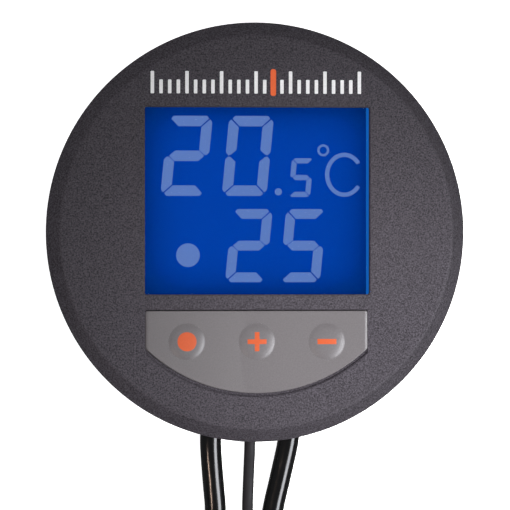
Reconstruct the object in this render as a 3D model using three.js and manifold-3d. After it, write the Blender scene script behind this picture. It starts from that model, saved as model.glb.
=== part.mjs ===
// Submersible aquarium heater with an external digital thermostat.
//
// The set is a round thermostat with a backlit display and three dome buttons, and the three
// leads that leave it: a mains lead with its plug, a sensor lead with its probe, and a heater
// lead with the submersible heater. Everything lies on one flat surface, as laid out on a bench.
//
// Frame: millimetres. The origin is on the surface, under the centre of the thermostat.
// +Z is up, out of the display. +Y is the top of the display, and the leads leave towards -Y.

import * as THREE from "three";
import { mergeVertices } from "three/addons/utils/BufferGeometryUtils.js";
import Module from "manifold-3d";

// ---------------------------------------------------------------- driving dimensions

const GAP = 0.3; // clearance between neighbouring pieces
const WALL = 2; // moulded wall

// Thermostat housing
const DISC_R = 50;
const FACE_R = 47.2; // the flat face ends here and a chamfer runs down to the rim
const FACE_Z = 26;
const CHAMFER_DROP = 3;
const SKIRT_Z = 12.5; // lower edge of the front cover
const CAN_R = 42; // rear cover
const PAD = { r: 22, z: 1.6 }; // adhesive mounting pad on the back
const FLANGE = { r: 46.9, z0: 12.8, z1: 15.2 };
const BOSS_R = 3.2;
const BOSSES = [
  [33.8, 12.3],
  [-33.8, 12.3],
  [-26.2, -26.2],
  [26.2, -26.2],
];

// Display window and keypad
const WINDOW = { w: 53.6, h: 44.4, y: 7.5 };
const KEYPAD = { half: 26.5, top: -18.7, arc: 38.4, corner: 0.7, proud: 0.35, recess: 1.2 };
const BUTTON = { r: 4.25, y: -26.1, pitch: 16.7, dome: 1.1 };
const SWITCH_TOP = 22.2; // a cap rests 0.7 above its switch
const BUTTONS = [
  ["power", -BUTTON.pitch],
  ["plus", 0],
  ["minus", BUTTON.pitch],
];

// Circuit board
const BOARD = { r: 38, z0: 15.5, z1: 17.1 };

// Where the leads leave the rear cover: a well open to the back and the bottom
const WELL = { half: 17, wall: -27, top: 12.2 };
const RELIEF_END = -47;
const LEAD_Z = 7.8;
const LEAD_X = 9.4;
const LEAD_R = 2.5; // mains and heater leads
const SENSOR_R = 1.2; // sensor lead

// Coils of spare lead: centre, the middle radius of its turns, and its turns across and up
const COIL_Z = 0.9;
const MAINS_COIL = { x: -59, y: -114, middle: 26, across: 3, up: 4, lead: LEAD_R };
const HEATER_COIL = { x: 47, y: -118, middle: 25, across: 3, up: 4, lead: LEAD_R };
const SENSOR_COIL = { x: -7, y: -112, middle: 13, across: 3, up: 6, lead: SENSOR_R };

// Plug
const PLUG = { x: -82, y0: -38, y1: -2, z: 6.85, w: 35.3, t: 13.7, waist: 26 };
const PIN = { r: 2, length: 19, spacing: 18.6, sleeve: 1.9 };

// Heater, lying along Y in two suction-cup clips
const HEATER = { x: 99, z: 25.3, relief: -124, cap: -100, guard: -72, tip: 74 };
const GUARD_R = 15.5;
const TUBE_R = 11;
const CLIP = { ring: 2.5, width: 12, gape: 50 };
const CLIP_Y = [-56, 56];

// Temperature probe in its own suction-cup clip
const PROBE = { x: 8.4, z: 9.6, boot: -128, body: -133, tip: -156, r: 3 };
const PROBE_CLIP_Y = -146;

// ---------------------------------------------------------------- routes of the leads

// Each stretch runs from where it leaves a piece to where it meets its coil, or back from there.
const MAINS_OUT = [
  [-9.4, -47.3, 7.8], [-9.5, -49.5, 7.7], [-9.45, -52, 7.4], [-9.1, -57, 6.5], [-8.6, -62, 5.4],
  [-8.15, -67, 4.5], [-8.5, -72.5, 3.9], [-11, -78.5, 3.6], [-15.4, -84, 3.4], [-20, -89.5, 3.4],
  [-24.2, -95.5, 3.4], [-26.9, -102, 3.4], [-27.9, -108, 3.4], [-28, -114, 3.4],
];
const MAINS_TAIL = [
  [-90, -114, 18.4], [-89.9, -106, 18.1], [-89.2, -98, 16.5], [-87.9, -90, 13.6], [-86, -82, 10.6],
  [-83.9, -74, 8.2], [-82.4, -67, 7.1], [-82, -60.3, 6.85],
];
const SENSOR_OUT = [
  [0, -47.3, 7.8], [0, -52, 7.3], [-0.1, -57, 6.2], [-0.2, -62, 5.1], [-0.25, -67, 4.1],
  [0.2, -73, 3.2], [1.2, -79, 2.5], [2.8, -85, 2.2], [4.7, -91, 2.1], [6.6, -97, 2.1],
  [7.9, -104, 2.1], [8.4, -112, 2.1],
];
const SENSOR_TAIL = [
  [8.4, -112, 14.1], [8.4, -116, 13.6], [8.4, -120, 11.9], [8.4, -124, 10.1], [8.4, -127.7, 9.6],
];
const HEATER_OUT = [
  [9.4, -47.3, 7.8], [9.35, -49.5, 7.7], [9.05, -52, 7.4], [8.15, -56.5, 6.5], [7.15, -61.3, 5.5],
  [6.15, -66, 4.6], [5.5, -70.5, 4], [5.6, -75, 3.7], [6.9, -80, 3.5], [9.4, -86, 3.4],
  [12.2, -92, 3.4], [14.5, -98, 3.4], [16, -104.5, 3.4], [16.8, -111, 3.4], [17, -118, 3.4],
];
const HEATER_TAIL = [
  [47, -148, 18.4], [54, -148, 18.5], [61, -148, 18.7], [68, -148, 19.1], [75, -147.6, 19.8],
  [82, -145.8, 20.9], [88.4, -142.2, 22.3], [93.6, -137, 23.8], [97.2, -131.2, 24.9],
  [98.8, -127.4, 25.3], [99, -124.3, 25.3],
];

// ---------------------------------------------------------------- materials

const colour = (hex, roughness, metalness = 0) =>
  new THREE.MeshStandardMaterial({ color: hex, roughness, metalness });
const CHARCOAL = colour(0x4b484c, 0.62);
const BLACK = colour(0x1b1a1b, 0.45);
const CABLE = colour(0x141314, 0.3);
const GREY = colour(0x857f80, 0.55);
const BLUE = colour(0x0039a0, 0.3);
const CLEAR = colour(0xc8d4dc, 0.1);
const BOARD_GREEN = colour(0x1d5a36, 0.5);
const WHITE = colour(0xdad8d2, 0.5);
const STEEL = colour(0xb8babd, 0.3, 1);
const BRASS = colour(0xc6a15a, 0.3, 1);

// ---------------------------------------------------------------- solid helpers

const wasm = await Module();
wasm.setup();

// A closed geometry as a solid with its faces pointing out.
function solid(geometry) {
  const bare = geometry.clone();
  bare.deleteAttribute("normal");
  bare.deleteAttribute("uv");
  const merged = mergeVertices(bare, 1e-4);
  const index = merged.index.array;
  const corners = [];
  for (let i = 0; i < index.length; i += 3) {
    const [a, b, c] = index.subarray(i, i + 3);
    if (a !== b && b !== c && a !== c) corners.push([a, b, c]);
  }
  const build = (triangles) =>
    new wasm.Manifold(
      new wasm.Mesh({
        numProp: 3,
        vertProperties: new Float32Array(merged.attributes.position.array),
        triVerts: new Uint32Array(triangles.flat()),
      }),
    );
  const made = build(corners);
  return made.volume() > 0 ? made : build(corners.map(([a, b, c]) => [a, c, b]));
}

const points = (list) => list.map(([x, y]) => new THREE.Vector2(x, y));

// A profile of [radius, height] points turned about +Z. It closes on itself or on the axis.
function turned(profile, segments = 32) {
  const onAxis = profile[0][0] === 0 && profile.at(-1)[0] === 0;
  const outline = onAxis ? profile : [...profile, profile[0]];
  return solid(new THREE.LatheGeometry(points(outline), segments).rotateX(Math.PI / 2));
}

// A turned piece laid along +Y instead, its axis at (x, z).
const turnedAlongY = (profile, x, z, segments) =>
  turned(profile, segments).rotate([-90, 0, 0]).translate([x, 0, z]);

const cylinder = (r, z0, z1, x = 0, y = 0, segments = 20) =>
  turned([[0, z0], [r, z0], [r, z1], [0, z1]], segments).translate([x, y, 0]);

const box = (x0, x1, y0, y1, z0, z1) =>
  solid(
    new THREE.BoxGeometry(x1 - x0, y1 - y0, z1 - z0)
      .translate((x0 + x1) / 2, (y0 + y1) / 2, (z0 + z1) / 2),
  );

const prism = (shape, z0, z1, curveSegments = 8) =>
  solid(
    new THREE.ExtrudeGeometry(shape, { depth: z1 - z0, bevelEnabled: false, curveSegments })
      .translate(0, 0, z0),
  );

// A round tube along a smooth curve through the points.
function tube(route, radius, sides = 8, steps = 40) {
  const section = new THREE.Shape();
  section.absarc(0, 0, radius, 0, 2 * Math.PI);
  const extrudePath = new THREE.CatmullRomCurve3(
    route.map(([x, y, z]) => new THREE.Vector3(x, y, z)),
    false,
    "centripetal",
  );
  const ring = new THREE.Shape(section.getPoints(sides / 2).slice(0, sides));
  return solid(
    new THREE.ExtrudeGeometry(ring, { steps, extrudePath, bevelEnabled: false }),
  );
}

const part = new THREE.Group();

function add(name, made, material) {
  const { vertProperties, triVerts } = made.getMesh();
  const geometry = new THREE.BufferGeometry()
    .setAttribute("position", new THREE.BufferAttribute(vertProperties, 3))
    .setIndex(new THREE.BufferAttribute(triVerts, 1));
  geometry.computeVertexNormals();
  const mesh = new THREE.Mesh(geometry, material);
  mesh.name = name;
  part.add(mesh);
}

// ---------------------------------------------------------------- thermostat housing

const windowBox = (grow, z0, z1) =>
  box(
    -WINDOW.w / 2 - grow, WINDOW.w / 2 + grow,
    WINDOW.y - WINDOW.h / 2 - grow, WINDOW.y + WINDOW.h / 2 + grow,
    z0, z1,
  );

// The keypad's outline: flat top, straight sides, and a lower edge concentric with the disc.
function keypadShape(grow) {
  const half = KEYPAD.half + grow;
  const arc = KEYPAD.arc + grow;
  const top = KEYPAD.top + grow;
  const corner = KEYPAD.corner;
  const side = Math.acos(half / arc);
  const shape = new THREE.Shape();
  shape.moveTo(half, top - corner);
  shape.lineTo(half - corner, top);
  shape.lineTo(-half + corner, top);
  shape.lineTo(-half, top - corner);
  shape.absarc(0, 0, arc, Math.PI + side, 2 * Math.PI - side);
  shape.closePath();
  return shape;
}

function frontCover() {
  const rimZ = FACE_Z - CHAMFER_DROP;
  const inside = DISC_R - WALL;
  const shell = turned(
    [
      [0, FACE_Z], [FACE_R - 0.6, FACE_Z], [FACE_R, FACE_Z - 0.15],
      [DISC_R - 0.2, rimZ], [DISC_R, rimZ - 0.5], [DISC_R - 0.7, SKIRT_Z],
      [inside - 0.7, SKIRT_Z], [inside - 0.3, rimZ - 2.4], [FACE_R - 1, FACE_Z - WALL],
      [0, FACE_Z - WALL],
    ],
    52,
  );
  const bosses = BOSSES.map(([x, y]) => cylinder(BOSS_R, BOARD.z0 + 0.1, FACE_Z - 1.8, x, y, 12));
  const holes = BOSSES.map(([x, y]) => cylinder(1.6, BOARD.z0, FACE_Z - 3.4, x, y, 10));
  const buttonHoles = BUTTONS.map(([, x]) =>
    cylinder(BUTTON.r + GAP, FACE_Z - 3, FACE_Z, x, BUTTON.y, 16),
  );
  const recess = prism(keypadShape(0.4), FACE_Z - KEYPAD.recess, FACE_Z + 1);
  let made = shell;
  for (const piece of bosses) made = made.add(piece);
  for (const piece of [...holes, ...buttonHoles, recess, windowBox(0, FACE_Z - 3, FACE_Z + 1)])
    made = made.subtract(piece);
  return made;
}

function rearCover() {
  const floor = PAD.z + WALL;
  const inner = CAN_R - WALL;
  const outside = turned(
    [
      [0, PAD.z], [36, PAD.z], [40, 3.4], [CAN_R, 8], [CAN_R, FLANGE.z0],
      [FLANGE.r, FLANGE.z0], [FLANGE.r, FLANGE.z1], [0, FLANGE.z1],
    ],
    40,
  );
  const cavity = turned(
    [[0, floor], [35.6, floor], [38.6, 4.9], [inner, 8.3], [inner, 20], [0, 20]],
    40,
  );
  const { half, wall, top } = WELL;
  const wellSkin = box(-half - WALL, half + WALL, -60, wall + WALL, 0, top + WALL);
  let made = outside
    .subtract(cavity.subtract(wellSkin))
    .subtract(box(-half, half, -60, wall, 0, top));
  for (const [x, y] of BOSSES) {
    made = made.add(cylinder(4.4, floor - 0.5, FLANGE.z1, x, y, 14).intersect(outside));
    made = made.subtract(cylinder(3.3, 0, 8, x, y, 14));
    made = made.subtract(cylinder(1.7, 7, 20, x, y, 10));
  }
  for (const [x, r] of [[-LEAD_X, 3], [0, 1.92], [LEAD_X, 3]])
    made = made.subtract(
      turnedAlongY([[0, wall - 1], [r + GAP, wall - 1], [r + GAP, wall + 4], [0, wall + 4]], x, LEAD_Z, 14),
    );
  return made;
}

function housing() {
  add("front_cover", frontCover(), CHARCOAL);
  add("rear_cover", rearCover(), BLACK);
  add("mounting_pad", cylinder(PAD.r, 0, PAD.z, 0, 0, 32), BLACK);
  const seal = [[45.2, 15.3], [46.7, 15.3], [46.7, 16.8], [45.2, 16.8]];
  add("housing_seal", turned(seal, 40), BLACK);
  BOSSES.forEach(([x, y], i) => {
    const screw = [[0, 5.6], [2.4, 5.6], [2.9, 6.2], [2.9, 7.7], [1.3, 7.7], [1.3, 21.5], [0, 22.2]];
    add(`housing_screw_${i + 1}`, turned(screw, 10).translate([x, y, 0]), STEEL);
  });
}

// ---------------------------------------------------------------- display and keypad

function display() {
  const half = WINDOW.w / 2;
  const [y0, y1] = [WINDOW.y - WINDOW.h / 2, WINDOW.y + WINDOW.h / 2];
  const glassRight = half - 0.2;
  add("display_window", windowBox(1.8, 22.6, 23.8), CLEAR);
  add("lcd_glass", box(-half - 1.6, glassRight, y0 - 1.4, y1 + 1.4, 20.5, 22.4), BLUE);
  add("backlight_guide", box(-half - 1.6, glassRight, y0 - 1.4, y1 + 1.4, 17.5, 20.3), WHITE);
  add("backlight_led_bar", box(glassRight + 0.1, half + 1.5, y0 - 0.4, y1 + 0.4, 17.5, 22.4), BLUE);
  const frame = windowBox(3.2, 17.3, 22.4).subtract(windowBox(1.9, 17, 23));
  add("display_frame", frame, BLACK);
}

function buttonCap(x) {
  const { r, dome, y } = BUTTON;
  const base = FACE_Z + KEYPAD.proud;
  const curve = (r * r + dome * dome) / (2 * dome);
  const steps = 4;
  const crown = Array.from({ length: steps }, (_, i) => {
    const out = (r * i) / steps;
    return [out, base + dome - curve + Math.sqrt(curve * curve - out * out)];
  });
  const skirt = [[r, base], [r, 23.6], [r + 0.9, 23.6], [r + 0.9, 22.9], [0, 22.9]];
  return turned([...crown, ...skirt], 16).translate([x, y, 0]);
}

function keypad() {
  let sheet = prism(keypadShape(0), FACE_Z - KEYPAD.recess + 0.1, FACE_Z + KEYPAD.proud);
  for (const [, x] of BUTTONS)
    sheet = sheet.subtract(cylinder(BUTTON.r + GAP, 20, 30, x, BUTTON.y, 16));
  add("keypad_panel", sheet, GREY);
  for (const [name, x] of BUTTONS) {
    add(`button_${name}`, buttonCap(x), GREY);
    const body = box(x - 3, x + 3, BUTTON.y - 3, BUTTON.y + 3, BOARD.z1 + 0.1, 20.6);
    const plunger = cylinder(1.5, 20, SWITCH_TOP, x, BUTTON.y, 12);
    add(`switch_${name}`, body.add(plunger), BLACK);
  }
}

// ---------------------------------------------------------------- circuit board

function electronics() {
  let board = cylinder(BOARD.r, BOARD.z0, BOARD.z1, 0, 0, 40);
  board = board.subtract(box(-50, 50, -50, -33, 10, 20));
  for (const [x, y] of BOSSES) board = board.subtract(cylinder(BOSS_R + 0.5, 10, 20, x, y, 12));
  add("circuit_board", board, BOARD_GREEN);

  const under = BOARD.z0 - 0.1; // these hang below the board
  add("relay", box(6, 26, 12, 23, under - 10.5, under), BLACK);
  add("transformer", box(-24, -8, 8, 24, under - 10, under), BOARD_GREEN);
  add("x_capacitor", box(-30, -12, -6, 2, under - 8, under), WHITE);
  add("filter_capacitor", cylinder(4, under - 10.4, under, 1, 27, 16), BLACK);
  add("controller_chip", box(16, 26, -4, 4, under - 1.6, under), BLACK);
  add("terminal_block", box(-20, 14, -19, -11, under - 9, under), BOARD_GREEN);
}

// ---------------------------------------------------------------- leads

// A strain relief along -Y: a flange inside the wall, a neck through it, and a tapered sleeve.
function leadRelief(x, r) {
  const { wall } = WELL;
  const profile = [
    [0, RELIEF_END], [r * 1.24, RELIEF_END], [r * 1.5, wall - 3], [r * 1.5, wall - GAP],
    [r * 1.2, wall - GAP], [r * 1.2, wall + WALL + GAP], [r * 1.5, wall + WALL + GAP],
    [r * 1.5, wall + WALL + 1.8], [0, wall + WALL + 1.8],
  ];
  return turnedAlongY(profile, x, LEAD_Z, 16);
}

const coilWidth = ({ across, lead }) => across * lead;
const coilHeight = ({ up, lead }) => 2 * up * lead;

// The outer shape of a wound coil, grown all round to give the clearance of a neighbour.
function coilRing(coil, grow = 0) {
  const half = coilWidth(coil) + grow;
  const z0 = COIL_Z - grow;
  const z1 = COIL_Z + coilHeight(coil) + grow;
  const edge = coil.lead * 0.6;
  const [inner, outer] = [coil.middle - half, coil.middle + half];
  return turned(
    [
      [inner + edge, z0], [outer - edge, z0], [outer, z0 + edge], [outer, z1 - edge],
      [outer - edge, z1], [inner + edge, z1], [inner, z1 - edge], [inner, z0 + edge],
    ],
    26,
  ).translate([coil.x, coil.y, 0]);
}

// A strap round the bundle of turns, at an angle about the coil's centre.
function coilTie(coil, degrees) {
  const half = coilWidth(coil) + GAP;
  const [z0, z1] = [COIL_Z - GAP, COIL_Z + coilHeight(coil) + GAP];
  const [band, thick] = [1.3 + coil.lead * 0.3, 0.6];
  const outer = box(coil.middle - half - thick, coil.middle + half + thick, -band, band, 0, z1 + thick);
  const inner = box(coil.middle - half, coil.middle + half, -band - 1, band + 1, z0, z1);
  return outer.subtract(inner).rotate([0, 0, degrees]).translate([coil.x, coil.y, 0]);
}

function coiledLead(name, radius, out, tail, coil, tieAngle, tailSteps) {
  const ring = coilRing(coil, GAP);
  const tie = coilTie(coil, tieAngle);
  add(`${name}_lead`, tube(out, radius, 8, 20).subtract(ring), CABLE);
  add(`${name}_coil`, coilRing(coil), CABLE);
  add(`${name}_tail`, tube(tail, radius, 8, tailSteps).subtract(ring), CABLE);
  add(`${name}_coil_tie`, tie, BLACK);
}

function leads() {
  add("mains_strain_relief", leadRelief(-LEAD_X, LEAD_R), BLACK);
  add("sensor_strain_relief", leadRelief(0, 1.6), BLACK);
  add("heater_strain_relief", leadRelief(LEAD_X, LEAD_R), BLACK);
  coiledLead("mains", LEAD_R, MAINS_OUT, MAINS_TAIL, MAINS_COIL, 250, 13);
  coiledLead("sensor", SENSOR_R, SENSOR_OUT, SENSOR_TAIL, SENSOR_COIL, 270, 5);
  coiledLead("heater", LEAD_R, HEATER_OUT, HEATER_TAIL, HEATER_COIL, 60, 18);
}

// ---------------------------------------------------------------- plug

function plug() {
  const { x, y0, y1, z, w, t, waist } = PLUG;
  const shape = new THREE.Shape();
  shape.moveTo(-waist / 2, y0);
  shape.lineTo(waist / 2, y0);
  shape.quadraticCurveTo(w / 2, y0 + 2, w / 2, y0 + 14);
  shape.lineTo(w / 2, y1 - 3);
  shape.quadraticCurveTo(w / 2, y1, w / 2 - 3, y1);
  shape.lineTo(-w / 2 + 3, y1);
  shape.quadraticCurveTo(-w / 2, y1, -w / 2, y1 - 3);
  shape.lineTo(-w / 2, y0 + 14);
  shape.quadraticCurveTo(-w / 2, y0 + 2, -waist / 2, y0);
  add("plug_body", prism(shape, z - t / 2, z + t / 2, 4).translate([x, 0, 0]), BLACK);
  const relief = [[0, -60], [3.1, -60], [4.6, y0 - GAP], [0, y0 - GAP]];
  add("plug_strain_relief", turnedAlongY(relief, x, z, 16), BLACK);
  for (const [name, side] of [["left", -1], ["right", 1]]) {
    const px = x + (side * PIN.spacing) / 2;
    const end = y1 + PIN.length;
    const sleeve = y1 + 10;
    const foot = y1 + 0.1;
    add(
      `plug_pin_${name}`,
      turnedAlongY(
        [[0, foot], [PIN.sleeve, foot], [PIN.sleeve, sleeve], [PIN.r, sleeve + 0.3], [PIN.r, end - 1], [1.2, end], [0, end]],
        px, z, 14,
      ),
      BRASS,
    );
  }
}

// ---------------------------------------------------------------- suction-cup clips

// A cup with its rim on the surface and a neck that snaps into a clip's foot.
function suctionCup({ x, y, r, height }) {
  const neck = r * 0.3;
  return turned(
    [
      [0, height * 0.3], [r * 0.5, height * 0.24], [r * 0.86, 0], [r, 0], [r, 0.5],
      [r * 0.8, height * 0.26], [r * 0.45, height * 0.52], [neck, height * 0.58],
      [neck, height], [0, height],
    ],
    18,
  ).translate([x, y, 0]);
}

// An open ring that grips a round body lying along Y, on a foot with a socket for the cup.
function clip(cup, z, grip, ring, width, gape) {
  const { x, y } = cup;
  const outer = grip + ring;
  const neck = cup.r * 0.3 + GAP;
  const [front, back] = [y - width / 2, y + width / 2];
  const band = turnedAlongY([[grip, front], [outer, front], [outer, back], [grip, back]], x, z, 28);
  const foot = cylinder(neck + ring * 0.6, cup.height * 0.64, z - grip - ring * 0.4, x, y, 14);
  const socket = cylinder(neck, 0, cup.height + GAP, x, y, 14);
  const reach = outer * Math.sin((gape * Math.PI) / 180);
  const mouth = box(x - reach, x + reach, front - 1, back + 1, z + grip * 0.5, z + outer + 1);
  return band.add(foot).subtract(socket).subtract(mouth);
}

// ---------------------------------------------------------------- temperature probe

function probe() {
  const { x, z, boot, body, tip, r } = PROBE;
  const boots = [[0, body + GAP], [r * 0.8, body + GAP], [SENSOR_R + 0.5, boot], [0, boot]];
  add("probe_boot", turnedAlongY(boots, x, z, 14), BLACK);
  const capsule = [[0, body], [r, body], [r, tip + 2], [r * 0.7, tip + 0.6], [0, tip]];
  add("probe_capsule", turnedAlongY(capsule, x, z, 20), STEEL);
  const cup = { x, y: PROBE_CLIP_Y, r: 10, height: 4.6 };
  add("probe_clip", clip(cup, z, r + GAP, 1.3, 8, 52), BLACK);
  add("probe_suction_cup", suctionCup(cup), CLEAR);
}

// ---------------------------------------------------------------- heater

function guard() {
  const { x, z, guard: y0, tip } = HEATER;
  const wall = 1.8;
  let cage = turnedAlongY(
    [
      [GUARD_R - wall, y0], [GUARD_R, y0], [GUARD_R, tip - 6], [GUARD_R - 2, tip - 1.6],
      [GUARD_R - 6, tip], [0, tip], [0, tip - wall], [GUARD_R - 6.4, tip - wall],
      [GUARD_R - 3.6, tip - 3.4], [GUARD_R - wall, tip - 7],
    ],
    x, z, 24,
  );
  const slots = [[-44, -8], [8, 44]];
  for (const [s0, s1] of slots)
    for (const degrees of [22.5, 67.5, 112.5, 157.5]) {
      const cut = box(-3.4, 3.4, s0, s1, -30, 30).rotate([0, degrees, 0]).translate([x, 0, z]);
      cage = cage.subtract(cut);
    }
  return cage;
}

function heater() {
  const { x, z, relief, cap, guard: open, tip } = HEATER;
  const sleeve = [[0, cap - GAP], [5.2, cap - GAP], [3.1, relief], [0, relief]];
  add("heater_cap_strain_relief", turnedAlongY(sleeve, x, z, 16), BLACK);
  const hood = [
    [0, cap], [9, cap], [12, cap + 2], [GUARD_R, cap + 8], [GUARD_R, open - GAP],
    [TUBE_R + 1.4, open - GAP], [TUBE_R + 1.4, cap + 16], [TUBE_R - 1.7, cap + 16],
    [TUBE_R - 1.7, cap + 24], [0, cap + 24],
  ];
  add("heater_cap", turnedAlongY(hood, x, z, 24), BLACK);
  const collar = [[TUBE_R + GAP, cap + 17], [TUBE_R + 1.1, cap + 17], [TUBE_R + 1.1, open + 2], [TUBE_R + GAP, open + 2]];
  add("heater_cap_seal", turnedAlongY(collar, x, z, 20), BLACK);
  const [glassEnd, wall] = [tip - 6, 1.3];
  const glass = [
    [TUBE_R - wall, cap + 17], [TUBE_R, cap + 17], [TUBE_R, glassEnd - 8],
    [TUBE_R * 0.8, glassEnd - 3], [TUBE_R * 0.4, glassEnd - 0.6], [0, glassEnd],
    [0, glassEnd - wall], [TUBE_R * 0.36, glassEnd - wall - 0.6],
    [TUBE_R * 0.72, glassEnd - wall - 3], [TUBE_R - wall, glassEnd - 9],
  ];
  add("heater_glass_tube", turnedAlongY(glass, x, z, 20), CLEAR);
  const core = [[0, cap + 28], [6.5, cap + 28], [6.5, glassEnd - 18], [0, glassEnd - 18]];
  add("heating_element", turnedAlongY(core, x, z, 16), WHITE);
  add("heater_guard", guard(), BLACK);
  CLIP_Y.forEach((y, i) => {
    const cup = { x, y, r: 15, height: 6.4 };
    add(`heater_clip_${i + 1}`, clip(cup, z, GUARD_R + GAP, CLIP.ring, CLIP.width, CLIP.gape), BLACK);
    add(`heater_suction_cup_${i + 1}`, suctionCup(cup), CLEAR);
  });
}

housing();
display();
keypad();
electronics();
leads();
plug();
probe();
heater();

export default part;
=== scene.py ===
import math

import bmesh
import bpy
from mathutils import Matrix, Vector


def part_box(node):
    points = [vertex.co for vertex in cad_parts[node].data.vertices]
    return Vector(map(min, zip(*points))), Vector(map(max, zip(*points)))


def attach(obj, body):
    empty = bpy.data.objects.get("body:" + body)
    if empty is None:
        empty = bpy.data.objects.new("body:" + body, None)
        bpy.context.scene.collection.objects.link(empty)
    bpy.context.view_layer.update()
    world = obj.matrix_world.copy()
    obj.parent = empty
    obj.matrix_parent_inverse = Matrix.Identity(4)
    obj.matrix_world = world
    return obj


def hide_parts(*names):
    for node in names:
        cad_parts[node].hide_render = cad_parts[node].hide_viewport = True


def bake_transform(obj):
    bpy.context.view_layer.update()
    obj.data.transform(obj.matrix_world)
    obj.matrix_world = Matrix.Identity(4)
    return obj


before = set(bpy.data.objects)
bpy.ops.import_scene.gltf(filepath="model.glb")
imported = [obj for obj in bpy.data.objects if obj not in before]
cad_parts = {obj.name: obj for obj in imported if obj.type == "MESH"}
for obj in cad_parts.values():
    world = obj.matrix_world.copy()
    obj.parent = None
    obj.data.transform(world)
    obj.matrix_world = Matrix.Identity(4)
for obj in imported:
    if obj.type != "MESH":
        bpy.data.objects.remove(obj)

# Everything is built in millimetres and scaled to metres when it becomes a piece.
MM = 0.001
FULL = 2 * math.pi

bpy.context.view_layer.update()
scene = bpy.context.scene
scene.view_settings.view_transform = "Standard"


def mm_box(node):
    low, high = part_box(node)
    return low / MM, high / MM


# -------- camera

TILT = math.radians(5.2)  # the camera stands slightly left of straight above
FRAME_WIDTH = 0.12156
DISTANCE = 1.0
SENSOR = 36
AIM = Vector((-0.00024, -0.00545, 0.024))


def make_camera():
    data = bpy.data.cameras.new("camera")
    data.sensor_width = SENSOR
    data.lens = SENSOR * DISTANCE / FRAME_WIDTH
    camera = bpy.data.objects.new("camera", data)
    scene.collection.objects.link(camera)
    right = Vector((math.cos(TILT), 0, math.sin(TILT)))
    up = Vector((0, 1, 0))
    back = Vector((-math.sin(TILT), 0, math.cos(TILT)))
    turn = Matrix((right, up, back)).transposed().to_4x4()
    camera.matrix_world = Matrix.Translation(AIM + back * DISTANCE) @ turn
    scene.camera = camera


make_camera()

# -------- materials

# Nearly all of a noise texture's values lie between these.
NOISE_LOW, NOISE_HIGH = 0.3, 0.7


def material(name, colour, roughness, **sockets):
    made = bpy.data.materials.new(name)
    made.use_nodes = True
    inputs = made.node_tree.nodes["Principled BSDF"].inputs
    inputs["Base Color"].default_value = (*colour, 1)
    inputs["Roughness"].default_value = roughness
    for socket, value in sockets.items():
        inputs[socket.replace("_", " ")].default_value = value
    return made


def noise(made, size, detail=2.0, stretch=(1, 1, 1)):
    """A noise node whose features are about size millimetres across."""
    nodes, links = made.node_tree.nodes, made.node_tree.links
    place = nodes.new("ShaderNodeTexCoord")
    mapping = nodes.new("ShaderNodeMapping")
    mapping.inputs["Scale"].default_value = stretch
    texture = nodes.new("ShaderNodeTexNoise")
    texture.inputs["Scale"].default_value = 1 / (size * MM)
    texture.inputs["Detail"].default_value = detail
    links.new(place.outputs["Object"], mapping.inputs["Vector"])
    links.new(mapping.outputs["Vector"], texture.inputs["Vector"])
    return texture.outputs["Fac"]


def bump(made, size, depth, detail=2.0, stretch=(1, 1, 1)):
    """Relief of that feature size and depth in millimetres, on top of any there already."""
    nodes, links = made.node_tree.nodes, made.node_tree.links
    shader = nodes["Principled BSDF"]
    relief = nodes.new("ShaderNodeBump")
    relief.inputs["Strength"].default_value = 1.0
    relief.inputs["Distance"].default_value = depth * MM
    links.new(noise(made, size, detail, stretch), relief.inputs["Height"])
    before = shader.inputs["Normal"].links
    if before:
        links.new(before[0].from_socket, relief.inputs["Normal"])
    links.new(relief.outputs["Normal"], shader.inputs["Normal"])
    return made


def mottle(made, size, dark, light, socket="Base Color"):
    """Varies a socket between two values, or two colours, with noise of that feature size."""
    nodes, links = made.node_tree.nodes, made.node_tree.links
    source = noise(made, size)
    target = nodes["Principled BSDF"].inputs[socket]
    if isinstance(dark, tuple):
        ramp = nodes.new("ShaderNodeValToRGB")
        ends = ((NOISE_LOW, dark), (NOISE_HIGH, light))
        for element, (position, colour) in zip(ramp.color_ramp.elements, ends):
            element.position, element.color = position, (*colour, 1)
        links.new(source, ramp.inputs["Fac"])
        links.new(ramp.outputs["Color"], target)
    else:
        span = nodes.new("ShaderNodeMapRange")
        span.inputs["From Min"].default_value = NOISE_LOW
        span.inputs["From Max"].default_value = NOISE_HIGH
        span.inputs["To Min"].default_value = dark
        span.inputs["To Max"].default_value = light
        links.new(source, span.inputs["Value"])
        links.new(span.outputs["Result"], target)
    return made


def shade(colour, factor):
    return tuple(c * factor for c in colour)


CHARCOAL_COLOUR = (0.0385, 0.0343, 0.0412)
charcoal = material("charcoal_grained_plastic", CHARCOAL_COLOUR, 0.56, Specular_IOR_Level=0.12)
mottle(charcoal, 0.36, shade(CHARCOAL_COLOUR, 0.4), shade(CHARCOAL_COLOUR, 1.6))
bump(charcoal, 0.36, 0.1)
bump(charcoal, 1.1, 0.04)

black_cover = material("black_grained_plastic", (0.016, 0.015, 0.016), 0.5)
mottle(black_cover, 0.35, (0.012, 0.011, 0.012), (0.021, 0.020, 0.021))
bump(black_cover, 0.3, 0.03)

nylon = material("black_nylon", (0.014, 0.014, 0.015), 0.38)
mottle(nylon, 6, 0.3, 0.46, "Roughness")
bump(nylon, 0.8, 0.012)

rubber = material("black_rubber", (0.013, 0.013, 0.014), 0.55)
mottle(rubber, 2.5, 0.46, 0.62, "Roughness")
bump(rubber, 0.35, 0.01)

foam = material("foam_pad", (0.02, 0.02, 0.021), 0.9)
bump(foam, 0.5, 0.12, 4)

pvc = material("black_cable_jacket", (0.002, 0.002, 0.0022), 0.17, Specular_IOR_Level=0.5)
mottle(pvc, 5, 0.14, 0.21, "Roughness")
bump(pvc, 2.2, 0.01)

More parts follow.
